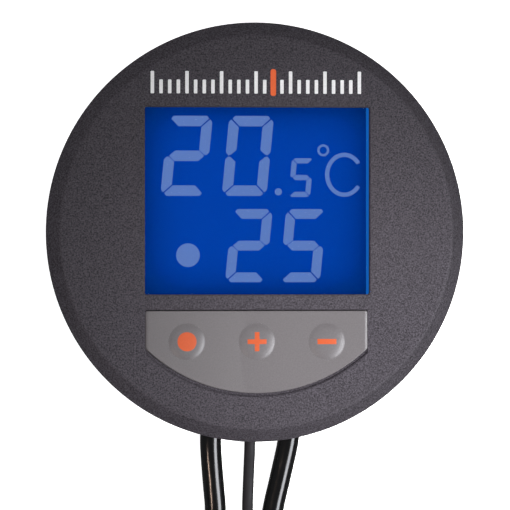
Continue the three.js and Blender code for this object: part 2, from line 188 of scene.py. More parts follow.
thin_pvc = material("grey_cable_jacket", (0.0098, 0.0088, 0.0108), 0.7, Specular_IOR_Level=0.3)
mottle(thin_pvc, 3, 0.62, 0.78, "Roughness")
bump(thin_pvc, 0.4, 0.008)

KEYPAD_COLOUR = (0.088, 0.0806, 0.0848)
keypad_film = material("grey_keypad_film", KEYPAD_COLOUR, 0.38, Specular_IOR_Level=0.5)
mottle(keypad_film, 0.3, shade(KEYPAD_COLOUR, 0.9), shade(KEYPAD_COLOUR, 1.1))
bump(keypad_film, 0.25, 0.006)

ORANGE = (0.345, 0.05, 0.0073)
orange_print = material("orange_print", ORANGE, 0.5)
mottle(orange_print, 0.5, shade(ORANGE, 0.95), shade(ORANGE, 1.05))
marker_print = material("marker_print", shade(ORANGE, 1.58), 0.5)
mottle(marker_print, 0.5, shade(ORANGE, 1.51), shade(ORANGE, 1.65))
white_print = material("white_print", (0.62, 0.62, 0.63), 0.5)
mottle(white_print, 0.5, (0.58, 0.58, 0.59), (0.66, 0.66, 0.67))

clear_window = material(
    "clear_window", (1, 1, 1), 0.02, Transmission_Weight=1.0, IOR=1.04, Specular_IOR_Level=0.2
)
tube_glass = material("tube_glass", (0.97, 1.0, 0.99), 0.0, Transmission_Weight=1.0, IOR=1.45)
bump(tube_glass, 30, 0.05)
cup_vinyl = material(
    "clear_vinyl", (0.80, 0.90, 0.87), 0.16, Transmission_Weight=0.85, IOR=1.42
)
mottle(cup_vinyl, 4, 0.12, 0.24, "Roughness")
ceramic = material("white_ceramic", (0.72, 0.69, 0.62), 0.7)
mottle(ceramic, 1.5, (0.66, 0.62, 0.54), (0.76, 0.73, 0.67))
bump(ceramic, 0.4, 0.02)
steel = material("polished_steel", (0.58, 0.58, 0.59), 0.24, Metallic=1.0)
bump(steel, 0.25, 0.004, stretch=(1, 0.06, 1))
wire = material("resistance_wire", (0.42, 0.36, 0.30), 0.35, Metallic=1.0)
bump(wire, 0.4, 0.01)
plated = material("plated_brass", (0.72, 0.69, 0.62), 0.22, Metallic=1.0)
bump(plated, 0.3, 0.004)
board = material("solder_mask", (0.01, 0.09, 0.035), 0.35)
bump(board, 1.2, 0.03)
part_yellow = material("component_yellow", (0.55, 0.36, 0.03), 0.4)
mottle(part_yellow, 3, (0.5, 0.32, 0.025), (0.6, 0.4, 0.035))
terminal = material("terminal_green", (0.01, 0.16, 0.06), 0.45)
bump(terminal, 0.6, 0.02)
guide_white = material("light_guide", (0.8, 0.8, 0.8), 0.3)
bump(guide_white, 0.5, 0.01)

# The display's lit parts. The panel darkens towards its sides and corners.
LIT_BLUE = (0.0002, 0.0420, 0.362)
LIT_EDGE = (0.0, 0.0240, 0.215)
LIT_CORNER = (0.0, 0.0170, 0.125)
LIT_DIGIT = (0.106, 0.190, 0.475)
LIT_STRIP = (0.006, 0.106, 0.420)
FADE_POWER = 6  # the higher, the nearer to the edge the fading starts
FADE_AMOUNT = 0.62
EDGE_STOP = 0.45


def lit(name, colour):
    made = material(name, (0.0, 0.002, 0.01), 0.6, Specular_IOR_Level=0.0)
    inputs = made.node_tree.nodes["Principled BSDF"].inputs
    inputs["Emission Color"].default_value = (*colour, 1)
    inputs["Emission Strength"].default_value = 1.0
    return made


WINDOW_LOW, WINDOW_HIGH = Vector((-26.62, -14.82)), Vector((27.05, 29.7))
lit_panel = lit("lit_display", LIT_BLUE)
lit_digits = lit("lit_digits", LIT_DIGIT)
lit_strip = lit("lit_strip", LIT_STRIP)


def fade_display(made):
    """Darkens the lit panel towards its edges."""
    nodes, links = made.node_tree.nodes, made.node_tree.links

    def maths(operation, *values):
        node = nodes.new("ShaderNodeMath")
        node.operation = operation
        for socket, value in zip(node.inputs, values):
            if isinstance(value, (int, float)):
                socket.default_value = value
            else:
                links.new(value, socket)
        return node.outputs["Value"]

    place = nodes.new("ShaderNodeTexCoord")
    split = nodes.new("ShaderNodeSeparateXYZ")
    links.new(place.outputs["Object"], split.inputs["Vector"])
    half = (WINDOW_HIGH - WINDOW_LOW) / 2 * MM
    middle = (WINDOW_HIGH + WINDOW_LOW) / 2 * MM
    across = maths("DIVIDE", maths("SUBTRACT", split.outputs["X"], middle.x), half.x)
    along = maths("DIVIDE", maths("SUBTRACT", split.outputs["Y"], middle.y), half.y)
    sides = maths("POWER", maths("ABSOLUTE", across), FADE_POWER)
    ends = maths("POWER", maths("ABSOLUTE", along), FADE_POWER)
    ramp = nodes.new("ShaderNodeValToRGB")
    elements = ramp.color_ramp.elements
    elements[0].position, elements[0].color = 0.0, (*LIT_BLUE, 1)
    elements[1].position, elements[1].color = 1.0, (*LIT_CORNER, 1)
    elements.new(EDGE_STOP).color = (*LIT_EDGE, 1)
    links.new(maths("MULTIPLY", maths("ADD", sides, ends), FADE_AMOUNT), ramp.inputs["Fac"])
    links.new(ramp.outputs["Color"], nodes["Principled BSDF"].inputs["Emission Color"])


fade_display(lit_panel)

# -------- mesh helpers


def fillet(points, closed=False, steps=5):
    """A polyline of (x, y) or (x, y, radius) points, its corners with a radius rounded."""
    out = []
    for i, point in enumerate(points):
        corner = Vector(point[:2])
        radius = point[2] if len(point) > 2 else 0
        if not radius or (not closed and i in (0, len(points) - 1)):
            out.append(tuple(corner))
            continue
        before = Vector(points[i - 1][:2]) - corner
        after = Vector(points[(i + 1) % len(points)][:2]) - corner
        half = before.angle(after) / 2
        reach = min(radius / math.tan(half), before.length * 0.49, after.length * 0.49)
        start, end = corner + before.normalized() * reach, corner + after.normalized() * reach
        for k in range(steps + 1):
            t = k / steps
            out.append(tuple(start * (1 - t) ** 2 + corner * 2 * t * (1 - t) + end * t * t))
    return out


def bridge(bm, a, b):
    """Joins two rings of the same length, or a ring and one point, with faces."""
    n = max(len(a), len(b))
    if n == 1:
        return
    for i in range(n):
        j = (i + 1) % n
        if len(a) == 1:
            bm.faces.new((a[0], b[j], b[i]))
        elif len(b) == 1:
            bm.faces.new((a[i], a[j], b[0]))
        else:
            bm.faces.new((a[i], a[j], b[j], b[i]))


def divided(profile, step, beyond=0.0):
    """A profile with its long straight stretches divided, where they lie outside a radius."""
    out = []
    for a, b in zip(profile, profile[1:]):
        long = min(a[0], b[0]) > beyond or not beyond
        n = max(1, round((Vector(b) - Vector(a)).length / step)) if long else 1
        out += [(a[0] + (b[0] - a[0]) * k / n, a[1] + (b[1] - a[1]) * k / n) for k in range(n)]
    return [*out, profile[-1]]


def lathe(profile, segments, flute=None):
    """A (radius, height) profile turned about Z: closed on itself, or ending on the axis.
    flute(angle, radius, height) gives a radius that changes round the piece."""
    bm = bmesh.new()
    rings = []
    for radius, height in profile:
        if radius < 1e-6:
            rings.append([bm.verts.new((0, 0, height))])
            continue
        ring = []
        for i in range(segments):
            angle = FULL * i / segments
            r = flute(angle, radius, height) if flute else radius
            ring.append(bm.verts.new((r * math.cos(angle), r * math.sin(angle), height)))
        rings.append(ring)
    for a, b in zip(rings, rings[1:]):
        bridge(bm, a, b)
    if len(rings[0]) > 1:
        bridge(bm, rings[-1], rings[0])
    return bm


def rod(radius, z0, z1, segments):
    return lathe([(0, z0), (radius, z0), (radius, z1), (0, z1)], segments)


def inset(outline, distance):
    """A counter-clockwise outline moved inwards."""
    out = []
    n = len(outline)
    for i in range(n):
        a, b, c = Vector(outline[i - 1]), Vector(outline[i]), Vector(outline[(i + 1) % n])
        u, v = (b - a).normalized(), (c - b).normalized()
        outward = Vector((u.y + v.y, -u.x - v.x)).normalized()
        reach = distance / max(0.3, outward.dot(Vector((u.y, -u.x))))
        out.append(tuple(b - outward * reach))
    return out


def level(outline, z):
    return [(x, y, z) for x, y in outline]


def loft(sections, bm=None):
    """Closed rings of points, joined in order and capped."""
    bm = bm or bmesh.new()
    rings = [[bm.verts.new(p) for p in section] for section in sections]
    for a, b in zip(rings, rings[1:]):
        bridge(bm, a, b)
    bm.faces.new(list(reversed(rings[0])))
    bm.faces.new(rings[-1])
    return bm


def prism(outline, z0, z1, top=0.0, bottom=0.0, steps=4, bm=None):
    """A counter-clockwise outline between two heights, its edges rounded by top and bottom."""
    levels = []
    if bottom:
        for k in range(steps):
            a = math.pi / 2 * k / steps
            levels.append((bottom * (1 - math.sin(a)), z0 + bottom * (1 - math.cos(a))))
    levels += [(0, z0 + bottom), (0, z1 - top)]
    if top:
        for k in range(1, steps + 1):
            a = math.pi / 2 * k / steps
            levels.append((top * (1 - math.cos(a)), z1 - top + top * math.sin(a)))
    return loft([level(inset(outline, d) if d else outline, z) for d, z in levels], bm)


def rectangle(x0, x1, y0, y1, radius, steps=5):
    corners = [(x0, y0, radius), (x1, y0, radius), (x1, y1, radius), (x0, y1, radius)]
    return fillet(corners, closed=True, steps=steps)


def circle(x, y, radius, n=48):
    return [
        (x + radius * math.cos(FULL * i / n), y + radius * math.sin(FULL * i / n))
        for i in range(n)
    ]


def move(bm, matrix):
    bmesh.ops.transform(bm, matrix=matrix, verts=bm.verts)
    return bm


def along_y(bm, x, z, y=0.0):
    """Lays a piece made about Z along +Y instead, its axis at (x, z)."""
    return move(bm, Matrix.Translation((x, y, z)) @ Matrix.Rotation(-math.pi / 2, 4, "X"))


def at(bm, x, y):
    return move(bm, Matrix.Translation((x, y, 0)))


def temporary(bm):
    """An object in millimetres made of a bmesh, which is used up."""
    bmesh.ops.recalc_face_normals(bm, faces=bm.faces)
    mesh = bpy.data.meshes.new("temporary")
    bm.to_mesh(mesh)
    bm.free()
    made = bpy.data.objects.new("temporary", mesh)
    scene.collection.objects.link(made)
    return made


def combine(base, tools, operation="DIFFERENCE"):
    """Cuts each bmesh in tools from the base, or joins it. All of them are used up."""
    base = temporary(base)
    for tool in map(temporary, tools):
        modifier = base.modifiers.new("combine", "BOOLEAN")
        modifier.operation = operation
        modifier.solver = "EXACT"
        modifier.object = tool
        depsgraph = bpy.context.evaluated_depsgraph_get()
        mesh = bpy.data.meshes.new_from_object(base.evaluated_get(depsgraph))
        base.modifiers.clear()
        base.data = mesh
        bpy.data.objects.remove(tool)
    bm = bmesh.new()
    bm.from_mesh(base.data)
    bpy.data.objects.remove(base)
    return bm


def flatten_normals(made):
    """Weighs the smooth normals by face area, so that rounded edges leave flat faces flat."""
    modifier = made.modifiers.new("normals", "WEIGHTED_NORMAL")
    modifier.keep_sharp = True
    depsgraph = bpy.context.evaluated_depsgraph_get()
    mesh = bpy.data.meshes.new_from_object(made.evaluated_get(depsgraph))
    made.modifiers.clear()
    made.data = mesh


def piece(name, bm, materials, node=None, body="set", angle=32, pick=None):
    """Makes a shown piece of a bmesh: scaled, shaded, riding a body and replacing a CAD node.
    pick(centre of a face) gives the number of its material."""
    bmesh.ops.remove_doubles(bm, verts=bm.verts, dist=1e-4)
    bmesh.ops.recalc_face_normals(bm, faces=bm.faces)
    if pick:
        for face in bm.faces:
            face.material_index = pick(face.calc_center_median())
    bmesh.ops.scale(bm, vec=(MM, MM, MM), verts=bm.verts)
    mesh = bpy.data.meshes.new(name)
    bm.to_mesh(mesh)
    bm.free()
    for m in materials if isinstance(materials, (list, tuple)) else [materials]:
        mesh.materials.append(m)
    mesh.shade_smooth()
    mesh.set_sharp_from_angle(angle=math.radians(angle))
    made = bpy.data.objects.new(name, mesh)
    scene.collection.objects.link(made)
    flatten_normals(made)
    if body:
        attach(made, body)
    if node:
        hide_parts(node)
    return made


# -------- leads

LEAD_D = 5.0
SENSOR_D = 2.4
LEAD_JACKET = 5.16  # as the photograph shows them: a little over their pitch
SENSOR_JACKET = 2.7
COIL_FLOOR = 0.9
TURN_POINTS = 30
LINE_STEP = 1.6

MAINS_OUT = [
    (-9.4, -44, 7.8), (-9.45, -47.3, 7.8), (-9.55, -49.5, 7.7), (-9.5, -52, 7.4),
    (-9.1, -57, 6.5), (-8.6, -62, 5.4), (-8.15, -67, 4.5), (-8.5, -72.5, 3.9),
    (-11, -78.5, 3.6), (-15.4, -84, 3.4), (-20, -89.5, 3.4), (-24.2, -95.5, 3.4),
    (-26.9, -102, 3.4), (-27.9, -108, 3.4),
]
MAINS_TAIL = [
    (-89.9, -106, 18.1), (-89.2, -98, 16.5), (-87.9, -90, 13.6), (-86, -82, 10.6),
    (-83.9, -74, 8.2), (-82.4, -67, 7.1), (-82, -60.3, 6.85), (-82, -57, 6.85),
]
SENSOR_OUT = [
    (0, -44, 7.8), (0, -47.3, 7.8), (0, -52, 7.3), (-0.1, -57, 6.2), (-0.2, -62, 5.1),
    (-0.25, -67, 4.1), (0.2, -73, 3.2), (1.2, -79, 2.5), (2.8, -85, 2.2), (4.7, -91, 2.1),
    (6.6, -97, 2.1), (7.9, -104, 2.1),
]
SENSOR_TAIL = [(8.4, -116, 13.6), (8.4, -120, 11.9), (8.4, -124, 10.1), (8.4, -129, 9.6)]
HEATER_OUT = [
    (9.4, -44, 7.8), (9.5, -47.3, 7.8), (9.4, -49.5, 7.7), (9.05, -52, 7.4),
    (8.15, -56.5, 6.5), (7.15, -61.3, 5.5), (6.15, -66, 4.6), (5.5, -70.5, 4),
    (5.6, -75, 3.7), (6.9, -80, 3.5), (9.4, -86, 3.4), (12.2, -92, 3.4),
    (14.5, -98, 3.4), (16, -104.5, 3.4), (16.8, -111, 3.4),
]
HEATER_TAIL = [
    (54, -148, 18.5), (61, -148, 18.7), (68, -148, 19.1), (75, -147.6, 19.8),
    (82, -145.8, 20.9), (88.4, -142.2, 22.3), (93.6, -137, 23.8), (97.2, -131.2, 24.9),
    (98.8, -127.4, 25.3), (99, -124.3, 25.3), (99, -121, 25.3),
]


def winding(centre, middle, across, up, diameter, start, turns, way, climb):
    """The line of a wound coil: a spiral in or out on each layer, and a climb to the next.
    start and way are the first angle and the sense of turning; climb is in turns."""
    reach = (across - 1) / 2 * diameter
    spiral = (turns - climb * (up - 1)) / up
    knots = []
    turned = 0.0
    for layer in range(up):
        height = COIL_FLOOR + diameter * (layer + 0.5)
        ends = (middle + reach, middle - reach)
        first, last = ends if layer % 2 == 0 else ends[::-1]
        knots.append((turned, first, height))
        turned += spiral
        knots.append((turned, last, height))
        turned += climb
    points = []
    count = round(turns * TURN_POINTS)
    for i in range(count + 1):
        t = turns * i / count
        k = next(k for k in range(len(knots) - 1) if t <= knots[k + 1][0] + 1e-9)
        (t0, r0, z0), (t1, r1, z1) = knots[k], knots[k + 1]
        u = (t - t0) / (t1 - t0)
        rise = u * u * (3 - 2 * u)
        radius, height = r0 + (r1 - r0) * u, z0 + (z1 - z0) * rise
        angle = start + way * FULL * t
        x, y = radius * math.cos(angle), radius * math.sin(angle)
        points.append((centre[0] + x, centre[1] + y, height))
    return points


def smooth(points):
    """Points along a centripetal Catmull-Rom curve through the given ones."""
    p = [Vector(q) for q in points]
    p = [p[0] * 2 - p[1], *p, p[-1] * 2 - p[-2]]
    out = []
    for a, b, c, d in zip(p, p[1:], p[2:], p[3:]):
        t1 = math.sqrt((b - a).length)
        t2 = t1 + math.sqrt((c - b).length)
        t3 = t2 + math.sqrt((d - c).length)
        n = max(1, round((c - b).length / LINE_STEP))
        for k in range(n):
            t = t1 + (t2 - t1) * k / n
            ab = a.lerp(b, t / t1)
            bc = b.lerp(c, (t - t1) / (t2 - t1))
            cd = c.lerp(d, (t - t2) / (t3 - t2))
            abc = ab.lerp(bc, t / t2)
            bcd = bc.lerp(cd, (t - t1) / (t3 - t1))
            out.append(abc.lerp(bcd, (t - t1) / (t2 - t1)))
    return [*out, p[-2]]


def curve(name, points, diameter, look, sides):
    data = bpy.data.curves.new(name, "CURVE")
    data.dimensions = "3D"
    data.bevel_depth = diameter / 2 * MM
    data.bevel_resolution = sides
    data.use_fill_caps = True
    spline = data.splines.new("POLY")
    spline.points.add(len(points) - 1)
    for knot, point in zip(spline.points, points):
        knot.co = (*(Vector(point) * MM), 1)
    data.materials.append(look)
    made = bpy.data.objects.new(name, data)
    scene.collection.objects.link(made)
    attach(made, "set")
    return made


def lead(name, out, tail, coil, diameter, jacket, look):
    """diameter is the pitch of the coiled turns, and jacket is what is seen of the lead."""
    points = smooth([*out, *winding(diameter=diameter, **coil), *tail])
    made = curve(name + "_cord", points, jacket, look, sides=6)
    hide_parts(name + "_lead", name + "_coil", name + "_tail")


MAINS_COIL = dict(
    centre=(-59, -114), middle=26, across=3, up=4, start=0, turns=8.5, way=-1, climb=0.17
)
SENSOR_COIL = dict(
    centre=(-7, -112), middle=13, across=3, up=6, start=0, turns=13, way=-1, climb=0.2
)
HEATER_COIL = dict(
    centre=(47, -118), middle=25, across=3, up=4, start=math.pi, turns=8.25, way=1, climb=0.17
)


def tie(name, coil, diameter, width, degrees, node):
    """A strap round the bundle of turns, with a clasp on its outside."""
    slack, thick = 0.45, 0.7
    half = coil["across"] * diameter / 2 + slack
    high = COIL_FLOOR + coil["up"] * diameter + slack
    outer = rectangle(-half, half, 0, high, diameter * 0.4)
    bm = bmesh.new()
    rings = []
    for y, depth in ((-1, thick), (-1, 0.2), (-0.85, 0), (0.85, 0), (1, 0.2), (1, thick)):
        line = inset(outer, depth) if depth else outer
        rings.append([bm.verts.new((x, y * width / 2, z)) for x, z in line])
    for a, b in zip(rings, [*rings[1:], rings[0]]):
        bridge(bm, a, b)
    clasp = prism(
        rectangle(-width * 0.7, width * 0.7, high * 0.34, high * 0.66, 0.6),
        half - 0.5, half + 1.1, top=0.35, bottom=0.35,
    )
    outwards = Matrix(((0, 0, 1, 0), (1, 0, 0, 0), (0, 1, 0, 0), (0, 0, 0, 1)))
    strap = combine(bm, [move(clasp, outwards)], "UNION")
    turn = Matrix.Rotation(math.radians(degrees), 4, "Z")
    out = Matrix.Translation((coil["middle"], 0, 0))
    move(strap, Matrix.Translation((*coil["centre"], 0)) @ turn @ out)
    return piece(name, strap, nylon, node)


mains_tie = tie("mains_tie", MAINS_COIL, LEAD_D, 4.2, 250, "mains_coil_tie")
sensor_tie = tie("sensor_tie", SENSOR_COIL, SENSOR_D, 3.0, 270, "sensor_coil_tie")
heater_tie = tie("heater_tie", HEATER_COIL, LEAD_D, 4.2, 60, "heater_coil_tie")


def relief_profile(z0, z1, r0, r1, ribs, groove):
    """A tapered sleeve with grooves, from (r0, z0) to (r1, z1)."""
    out = [(0, z0), (r0 * 0.86, z0), (r0, z0 + 0.5)]
    pitch = (z1 - z0 - 3) / ribs
    for i in range(ribs):
        for share, depth in ((0.1, 0), (0.62, 0), (0.7, groove), (0.95, groove)):
            z = z0 + 0.8 + pitch * (i + share)
            out.append((r0 + (r1 - r0) * (z - z0) / (z1 - z0) - depth, z))
    return [*out, (r1, z1 - 1.6), (r1, z1), (0, z1)]


def strain_relief(name, node, x, z, y0, y1, r0, r1, groove):
    """A grooved sleeve from its thin end at y0 to its thick end at y1."""
    bm = lathe(relief_profile(0, y1 - y0, r0, r1, 6, groove), 48)
    return piece(name, along_y(bm, x, z, y0), rubber, node, angle=28)


LEAD_X, LEAD_Z = 9.4, 7.8  # where the two outer leads leave the thermostat
WELL_WALL = -27
for name, x, radius in (("mains", -LEAD_X, 2.5), ("sensor", 0, 1.6), ("heater", LEAD_X, 2.5)):
    strain_relief(
        name + "_sleeve", name + "_strain_relief", x, LEAD_Z, -47, WELL_WALL + 3.6,
        r0=radius * 1.24, r1=radius * 1.5, groove=radius * 0.16,
    )

# -------- plug

PLUG_X, PLUG_Z = -82, 6.85
PLUG_BACK, PLUG_FRONT = -38, -2
PIN_APART = 18.6
SECTION_POINTS = 56


def rounded_section(width, height, power, x, y, z):
    """A superellipse in a plane across Y: power 2 is an ellipse, and more is squarer."""
    out = []
    for i in range(SECTION_POINTS):
        a = FULL * i / SECTION_POINTS
        c, s = math.cos(a), math.sin(a)
        px = math.copysign(abs(c) ** (2 / power), c) * width / 2
        pz = math.copysign(abs(s) ** (2 / power), s) * height / 2
        out.append((x + px, y, z - pz))
    return out


def plug_body():
    """The moulded body: square-shouldered at the pins, waisted, with finger grooves behind.
    Each station has its distance behind the pins' face, its width, thickness and power."""
    stations = [
        (0, 33.6, 12.4, 7), (0.5, 34.8, 13.3, 7), (1.2, 35.2, 13.7, 7), (9, 35.2, 13.7, 7),
        (13, 34.9, 13.5, 6), (16, 34.0, 13.0, 5), (17, 32.8, 12.0, 5), (18, 32.8, 12.0, 5),
        (19, 32.9, 12.7, 5), (21, 32.0, 12.5, 5), (22, 30.8, 11.5, 5), (23, 30.6, 11.5, 5),
        (24, 30.6, 12.2, 5), (26, 29.2, 12.0, 4.5), (27, 28.0, 11.0, 4.5), (28, 27.6, 11.0, 4.5),
        (29, 27.4, 11.7, 4), (32, 24.0, 11.2, 3.4), (34.5, 19.0, 10.4, 3), (35.6, 14.0, 9.4, 2.6),
        (36, 11.0, 8.4, 2.4),
    ]
    sections = [
        rounded_section(*shape, PLUG_X, PLUG_FRONT - back, PLUG_Z) for back, *shape in stations
    ]
    return piece("plug_moulding", loft(sections), rubber, "plug_body", angle=40)


def plug_pin(side, name):
    x = PLUG_X + side * PIN_APART / 2
    sleeve_end, tip = 10.0, 19.0
    profile = [
        (0, -0.6), (1.9, -0.6), (1.9, sleeve_end, 0.1), (1.95, sleeve_end + 0.1),
        (1.95, tip, 1.2), (0, tip),
    ]
    bm = along_y(lathe(fillet(profile, steps=6), 40), x, PLUG_Z, PLUG_FRONT)
    return piece(
        "pin_" + name, bm, [plated, nylon], "plug_pin_" + name,
        pick=lambda c: int(c.y < PLUG_FRONT + sleeve_end),
    )


plug_pieces = [
    plug_body(),
    plug_pin(-1, "left"),
    plug_pin(1, "right"),
    strain_relief(
        "plug_sleeve", "plug_strain_relief", PLUG_X, PLUG_Z, -60, PLUG_BACK,
        r0=3.1, r1=4.6, groove=0.6,
    ),
]

lead(
    "mains", MAINS_OUT, MAINS_TAIL, MAINS_COIL, LEAD_D, LEAD_JACKET, pvc,
)
lead(
    "sensor", SENSOR_OUT, SENSOR_TAIL, SENSOR_COIL, SENSOR_D, SENSOR_JACKET, thin_pvc,
)
lead(
    "heater", HEATER_OUT, HEATER_TAIL, HEATER_COIL, LEAD_D, LEAD_JACKET, pvc,
)

# -------- thermostat covers

FACE_Z = mm_box("front_cover")[1].z
WINDOW_FLARE = 0.25
OVER = 0.5  # how far a cutter stands out of what it cuts
SCREWS = ((33.8, 12.3), (-33.8, 12.3), (-26.2, -26.2), (26.2, -26.2))
PANEL_HALF, PANEL_TOP, PANEL_ARC = 26.5, -18.7, 38.35
PANEL_CORNER = 0.5
BUTTON_Y = -26.05
BUTTONS = (("power", -16.7), ("plus", 0.0), ("minus", 16.7))
DOME_RIM = 4.45


def keypad_outline(side, top, below):
    """Flat top, straight sides, and a lower edge concentric with the disc, each moved outwards
    by that much."""
    half, arc, count = PANEL_HALF + side, PANEL_ARC + below, 48
    start = math.acos(half / arc)
    first, last = math.pi + start, FULL - start
    sweep = [first + (last - first) * i / count for i in range(count + 1)]
    edge = [(arc * math.cos(a), arc * math.sin(a)) for a in sweep]
    ends = [(*edge[0], PANEL_CORNER), *edge[1:-1], (*edge[-1], PANEL_CORNER)]
    y = PANEL_TOP + top
    top_corners = [(half, y, PANEL_CORNER), (-half, y, PANEL_CORNER)]
    return fillet([*ends, *top_corners], closed=True, steps=4)


def front_cover():
    """The face with its chamfer and skirt, cut for the display and sunk for the keypad."""
    profile = [
        (0, FACE_Z), (46.95, FACE_Z, 1.2), (50.08, FACE_Z - 3.0, 0.6), (49.35, 12.5, 0.4),
        (47.3, 12.5, 0.3), (47.7, 21.9), (46.2, 24, 0.6), (0, 24),
    ]
    shell = lathe(fillet(profile, steps=6), 192)
    x0, y0 = WINDOW_LOW
    x1, y1 = WINDOW_HIGH
    opening = rectangle(x0, x1, y0, y1, 0.45, 4)
    window = [
        level(opening, 20.0),
        level(opening, FACE_Z - WINDOW_FLARE),
        level(inset(opening, -WINDOW_FLARE), FACE_Z),
        level(inset(opening, -WINDOW_FLARE - OVER), FACE_Z + OVER),
    ]
    recess = [
        level(keypad_outline(0.05, 0.16, 0.68), FACE_Z - 1.2),
        level(keypad_outline(0.05, 0.16, 0.68), FACE_Z - 0.3),
        level(keypad_outline(0.08, 0.24, 0.96), FACE_Z - 0.02),
        level(keypad_outline(0.1, 0.3, 1.02), FACE_Z + OVER),
    ]
    shell = combine(shell, [loft(window), loft(recess)])
    piece("front_shell", shell, charcoal, "front_cover")


def rear_cover():
    """A dished back with a well that the leads leave from, and holes for them and the screws."""
    floor, back = 3.6, 1.6
    outer = [
        (0, back), (37.5, back, 1.5), (42, 6.2, 4), (42, 12.8), (46.9, 12.8, 0.3),
        (46.9, 15.2, 0.3), (0, 15.2),
    ]
    inner = [(0, floor), (36.4, floor, 1.2), (40, 7.3, 3), (40, 18), (0, 18)]
    outside = lathe(fillet(outer, steps=6), 144)
    cavity = lathe(fillet(inner, steps=5), 144)
    skin = prism(rectangle(-19, 19, -60, WELL_WALL + 2, 1), 0, 14.2)
    well = prism(rectangle(-17, 17, -60, WELL_WALL, 1), -1, 12.2)
    tools = [combine(cavity, [skin]), well]
    for x, y in SCREWS:
        tools.append(at(rod(3.3, -1, 8, 32), x, y))
    for x, radius in ((-LEAD_X, 3.3), (0, 2.2), (LEAD_X, 3.3)):
        tools.append(along_y(rod(radius, -1, 5, 32), x, LEAD_Z, WELL_WALL))
    piece("rear_shell", combine(outside, tools), black_cover, "rear_cover")


front_cover()
rear_cover()

# -------- display


def display():
    low, high = mm_box("display_window")
    pane = prism(rectangle(low.x, high.x, low.y, high.y, 0.6), low.z, high.z, 0.1, 0.1, 2)
    piece("window_pane", pane, clear_window, "display_window")
    low, high = mm_box("lcd_glass")
    cell = prism(rectangle(low.x, high.x, low.y, high.y, 0.3), low.z, high.z, 0.08, 0.08, 2)
    piece("display_cell", cell, lit_panel, "lcd_glass")


SLANT = 0.096
SHAPES = {"0": "abcdef", "2": "abged", "5": "afgcd"}
# Each figure with its lower left corner, width, height and stroke.
FIGURES = (
    ("2", -22.75, 8.65, 10.73, 19.1, 2.5),
    ("0", -8.08, 8.65, 10.71, 19.1, 2.5),
    ("5", 7.9, 8.42, 5.2, 9.26, 1.24),
    ("2", -7.28, -11.94, 9.75, 17.46, 2.33),
    ("5", 5.72, -11.94, 9.75, 17.46, 2.33),
)
POINT = circle(5.5, 9.65, 0.86)
HEATING_DISC = circle(-16.14, -5.49, 2.83, 64)


def segment(letter, w, h, t):
    """One bar of a digit w wide and h high, drawn t thick, counter-clockwise."""
    m = h / 2
    top = [
        (1.08 * t, h - t), (w - 1.08 * t, h - t), (w - 0.34 * t, h - 0.27 * t),
        (w - 0.56 * t, h), (0.56 * t, h), (0.34 * t, h - 0.27 * t),
    ]
    upper = [
        (w - t, h - 1.08 * t), (w - t, m + 0.56 * t), (w - 0.5 * t, m + 0.12 * t),
        (w - 0.26 * t, m + 0.06 * t), (w, m + 0.36 * t), (w, h - 0.62 * t),
        (w - 0.21 * t, h - 0.34 * t),
    ]
    centre = [
        (0.47 * t, m), (1.0 * t, m - 0.5 * t), (w - 1.0 * t, m - 0.5 * t),
        (w - 0.47 * t, m), (w - 1.0 * t, m + 0.5 * t), (1.0 * t, m + 0.5 * t),
    ]

    def flip(line):
        return [(x, h - y) for x, y in reversed(line)]

    def mirror(line):
        return [(w - x, y) for x, y in reversed(line)]

    return {
        "a": top, "d": flip(top), "g": centre, "b": upper, "c": flip(upper),
        "f": mirror(upper), "e": mirror(flip(upper)),
    }[letter]


def digit(bm, figure, x, y, w, h, t, z0, z1):
    for letter in SHAPES[figure]:
        line = [(x + px + py * SLANT, y + py, t * 0.05) for px, py in segment(letter, w, h, t)]
        prism(fillet(line, closed=True, steps=2), z0, z1, bm=bm)


def arc_band(x, y, rx, ry, t, first, last, n=40):
    """A band t wide along an ellipse, from one angle to another, in degrees."""
    angles = [math.radians(first + (last - first) * i / n) for i in range(n + 1)]
    outer = [(x + rx * math.cos(a), y + ry * math.sin(a)) for a in angles]
    inner = [(x + (rx - t) * math.cos(a), y + (ry - t) * math.sin(a)) for a in angles]
    return [*outer, *reversed(inner)]


def digits():
    top = mm_box("lcd_glass")[1].z
    z0, z1 = top + 0.02, top + 0.08
    bm = bmesh.new()
    for figure, *shape in FIGURES:
        digit(bm, figure, *shape, z0, z1)
    degree_ring = arc_band(16.28, 19.58, 1.43, 1.43, 0.56, 0, 359.9, 48)
    unit = arc_band(21.34, 13.74, 4.63, 5.27, 1.0, 35, 325)
    for outline in (POINT, HEATING_DISC, degree_ring, unit):
        prism(outline, z0, z1, bm=bm)
    piece("display_digits", bm, lit_digits)


display()
digits()

# -------- printed scale

TICKS, TICK_PITCH, TICK_HALF = 25, 2.06, 0.42
TICK_BASE, TICK_SHORT, TICK_TALL = 32.94, 3.3, 5.32
SCALE_SHIFT = -0.16
MARKER, MARKER_HALF = 14, 0.66


def scale_print():
    """A plain temperature scale above the display: ticks, and one orange marker."""
    z0, z1 = FACE_Z - 0.02, FACE_Z + 0.03
    ticks = bmesh.new()
    places = [(i - (TICKS - 1) / 2) * TICK_PITCH + SCALE_SHIFT for i in range(TICKS)]
    for i, x in enumerate(places):
        if i == MARKER:
            continue
        top = TICK_BASE + (TICK_TALL if i % 4 == 0 else TICK_SHORT)
        line = rectangle(x - TICK_HALF, x + TICK_HALF, TICK_BASE, top, 0.2, 3)
        prism(line, z0, z1, bm=ticks)
    piece("scale_ticks", ticks, white_print)
    x = places[MARKER]
    line = rectangle(
        x - MARKER_HALF, x + MARKER_HALF, TICK_BASE - 0.55, TICK_BASE + 5.85, 0.6
    )
    piece("scale_marker", prism(line, z0, z1), marker_print)


scale_print()

# -------- keypad

